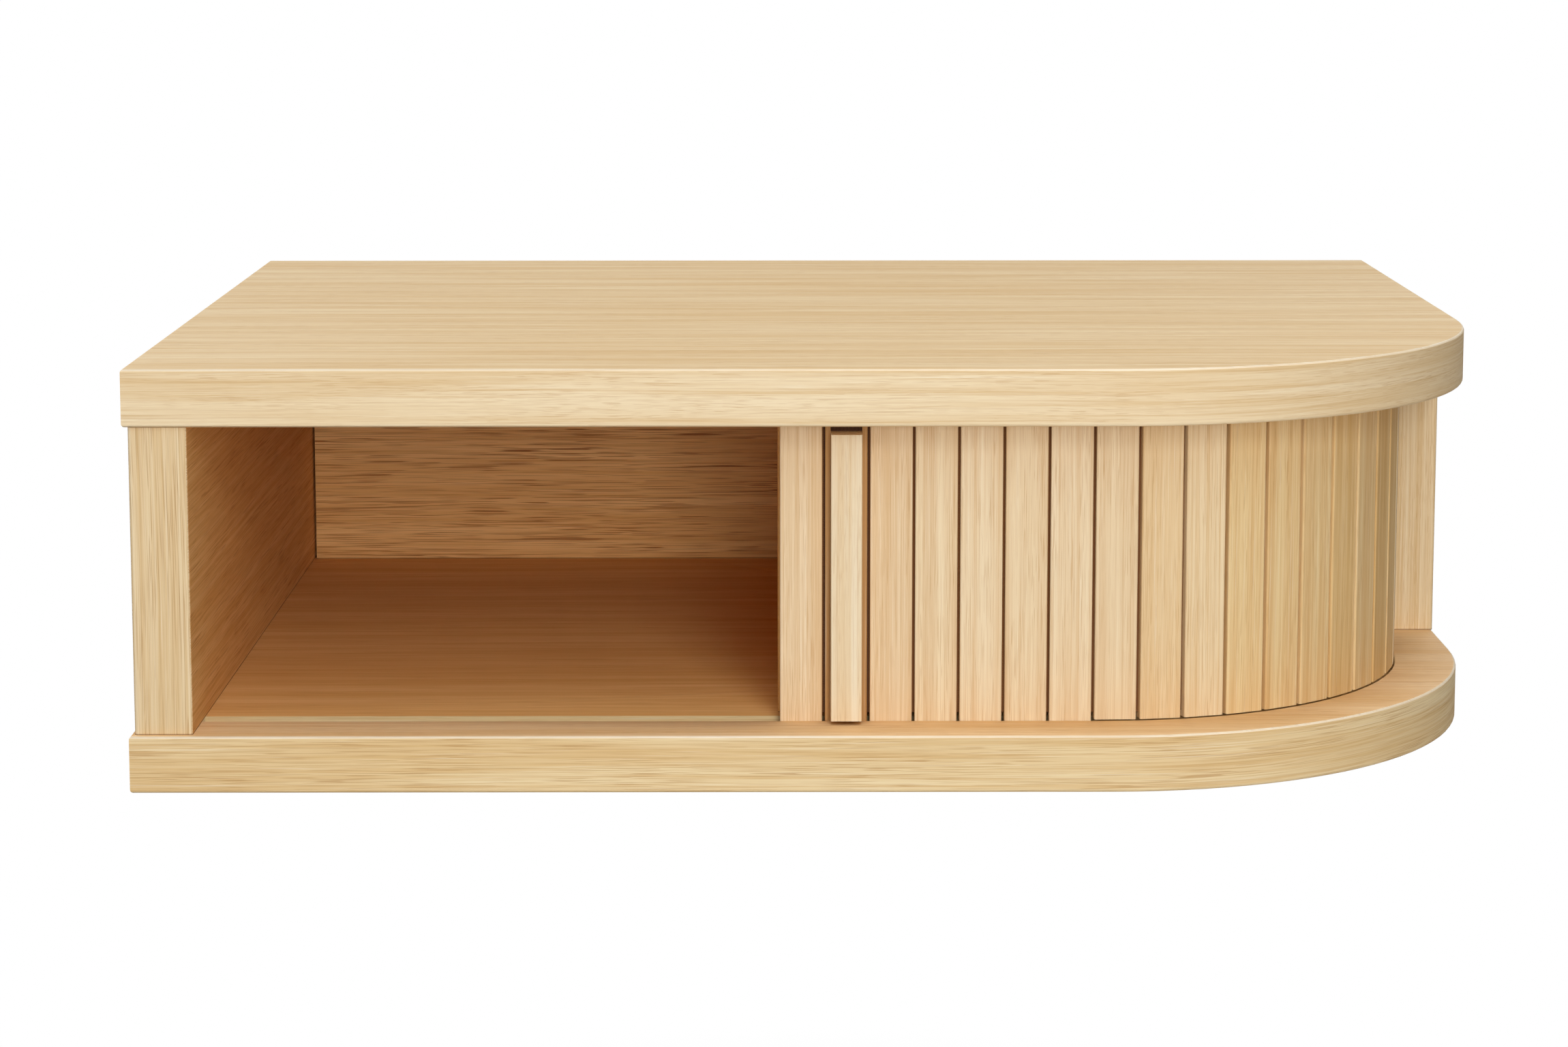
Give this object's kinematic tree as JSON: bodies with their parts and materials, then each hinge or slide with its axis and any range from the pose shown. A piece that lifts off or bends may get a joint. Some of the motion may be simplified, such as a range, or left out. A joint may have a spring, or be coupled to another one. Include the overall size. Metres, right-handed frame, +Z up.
{
  "type": "bedside table with tambour door",
  "caption": "Wall-hung bedside table with a rounded front corner, an open cubby and a tambour curtain that slides in a groove from the closed side across the cubby.",
  "frame": {"origin": "middle of the underside: half way along the width and the depth of the boards, on the bottom board's lower face", "axes": "+X to the right seen from the front, -Y out of the front, +Y to the wall, +Z up"},
  "size_m": [0.6, 0.45, 0.184],
  "materials": {
    "oak_board": "matt lacquered oak veneer, grain from left to right",
    "oak_panel": "matt lacquered oak veneer, upright grain on the front edges",
    "oak_inside": "matt lacquered oak veneer, in the shade of the cubby",
    "oak_slat": "matt lacquered oak, upright grain",
    "beech": "bare turned beech",
    "plywood": "sanded birch plywood",
    "canvas": "dark brown woven cotton canvas",
    "steel": "zinc-plated steel"
  },
  "bodies": {
    "carcass": {"top_board": "oak_board", "bottom_board": "oak_board", "left_side_panel": "oak_panel", "right_side_panel": "oak_panel", "divider_panel": "oak_inside", "back_panel": "oak_inside", "carcass_dowels": "beech", "hanging_cleat": "plywood", "cleat_screws": "steel", "wall_cleat": "plywood", "spacer_batten": "plywood", "batten_screws": "steel"},
    "door": {"leading_slat": "oak_slat", "handle_slat": "oak_slat", "grip_bar": "oak_slat", "grip_screws": "steel", "slat_03": "oak_slat", "slat_04": "oak_slat", "slat_05": "oak_slat", "slat_06": "oak_slat", "slat_07": "oak_slat", "tambour_canvas": "canvas"},
    "link_08": {"slat_08": "oak_slat"},
    "link_09": {"slat_09": "oak_slat"},
    "link_10": {"slat_10": "oak_slat"},
    "link_11": {"slat_11": "oak_slat"},
    "link_12": {"slat_12": "oak_slat"},
    "link_13": {"slat_13": "oak_slat"},
    "link_14": {"slat_14": "oak_slat"},
    "link_15": {"slat_15": "oak_slat"},
    "link_16": {"slat_16": "oak_slat"},
    "link_17": {"slat_17": "oak_slat"},
    "link_18": {"slat_18": "oak_slat"},
    "link_19": {"slat_19": "oak_slat"},
    "link_20": {"slat_20": "oak_slat"},
    "link_21": {"slat_21": "oak_slat"},
    "link_22": {"slat_22": "oak_slat"}
  },
  "joints": [
    {"name": "door_slide", "type": "slide", "parent": "carcass", "child": "door", "axis": [-1, 0, 0], "range_m": [0, 0.2518], "deforming": ["tambour_canvas"]},
    {"name": "slat_08_turn", "type": "hinge", "parent": "door", "child": "link_08", "pos_m": [0.116, -0.1924, 0.092], "axis": [0, 0, -1], "range_deg": [0, 1.86]},
    {"name": "slat_09_turn", "type": "hinge", "parent": "door", "child": "link_09", "pos_m": [0.13165, -0.19215, 0.092], "axis": [0, 0, -1], "range_deg": [0, 9.23]},
    {"name": "slat_10_turn", "type": "hinge", "parent": "door", "child": "link_10", "pos_m": [0.14239, -0.1914, 0.092], "axis": [0, 0, -1], "range_deg": [0, 16.96]},
    {"name": "slat_11_turn", "type": "hinge", "parent": "door", "child": "link_11", "pos_m": [0.15254, -0.1902, 0.092], "axis": [0, 0, -1], "range_deg": [0, 24.69]},
    {"name": "slat_12_turn", "type": "hinge", "parent": "link_11", "child": "link_12", "pos_m": [0.19149, -0.17472, 0.092], "axis": [0, 0, -1], "range_deg": [0, 7.73]},
    {"name": "slat_13_turn", "type": "hinge", "parent": "link_11", "child": "link_13", "pos_m": [0.20012, -0.17002, 0.092], "axis": [0, 0, -1], "range_deg": [0, 15.46]},
    {"name": "slat_14_turn", "type": "hinge", "parent": "link_11", "child": "link_14", "pos_m": [0.20856, -0.16493, 0.092], "axis": [0, 0, -1], "range_deg": [0, 23.19]},
    {"name": "slat_15_turn", "type": "hinge", "parent": "link_11", "child": "link_15", "pos_m": [0.21682, -0.15942, 0.092], "axis": [0, 0, -1], "range_deg": [0, 30.92]},
    {"name": "slat_16_turn", "type": "hinge", "parent": "link_15", "child": "link_16", "pos_m": [0.24724, -0.12087, 0.092], "axis": [0, 0, -1], "range_deg": [0, 7.73]},
    {"name": "slat_17_turn", "type": "hinge", "parent": "link_15", "child": "link_17", "pos_m": [0.25223, -0.11241, 0.092], "axis": [0, 0, -1], "range_deg": [0, 15.46]},
    {"name": "slat_18_turn", "type": "hinge", "parent": "link_15", "child": "link_18", "pos_m": [0.25685, -0.10369, 0.092], "axis": [0, 0, -1], "range_deg": [0, 23.19]},
    {"name": "slat_19_turn", "type": "hinge", "parent": "link_15", "child": "link_19", "pos_m": [0.2611, -0.09474, 0.092], "axis": [0, 0, -1], "range_deg": [0, 30.91]},
    {"name": "slat_20_turn", "type": "hinge", "parent": "link_15", "child": "link_20", "pos_m": [0.26306, -0.09008, 0.092], "axis": [0, 0, -1], "range_deg": [0, 34.4]},
    {"name": "slat_21_turn", "type": "hinge", "parent": "link_20", "child": "link_21", "pos_m": [0.2674, -0.02642, 0.092], "axis": [0, 0, -1], "range_deg": [-2.77, 0]},
    {"name": "slat_22_turn", "type": "hinge", "parent": "link_20", "child": "link_22", "pos_m": [0.26705, -0.01204, 0.092], "axis": [0, 0, -1], "range_deg": [-10.41, 0]}
  ],
  "couplings": [
    {"joint": "slat_08_turn", "follows": "door_slide", "rad_per_m": 0.12898},
    {"joint": "slat_09_turn", "follows": "door_slide", "rad_per_m": 0.6396},
    {"joint": "slat_10_turn", "follows": "door_slide", "rad_per_m": 1.1754},
    {"joint": "slat_11_turn", "follows": "door_slide", "rad_per_m": 1.7111},
    {"joint": "slat_12_turn", "follows": "door_slide", "rad_per_m": 0.53575},
    {"joint": "slat_13_turn", "follows": "door_slide", "rad_per_m": 1.0715},
    {"joint": "slat_14_turn", "follows": "door_slide", "rad_per_m": 1.6073},
    {"joint": "slat_15_turn", "follows": "door_slide", "rad_per_m": 2.143},
    {"joint": "slat_16_turn", "follows": "door_slide", "rad_per_m": 0.53575},
    {"joint": "slat_17_turn", "follows": "door_slide", "rad_per_m": 1.0715},
    {"joint": "slat_18_turn", "follows": "door_slide", "rad_per_m": 1.6073},
    {"joint": "slat_19_turn", "follows": "door_slide", "rad_per_m": 2.1423},
    {"joint": "slat_20_turn", "follows": "door_slide", "rad_per_m": 2.3841},
    {"joint": "slat_21_turn", "follows": "door_slide", "rad_per_m": -0.19217},
    {"joint": "slat_22_turn", "follows": "door_slide", "rad_per_m": -0.72164}
  ]
}
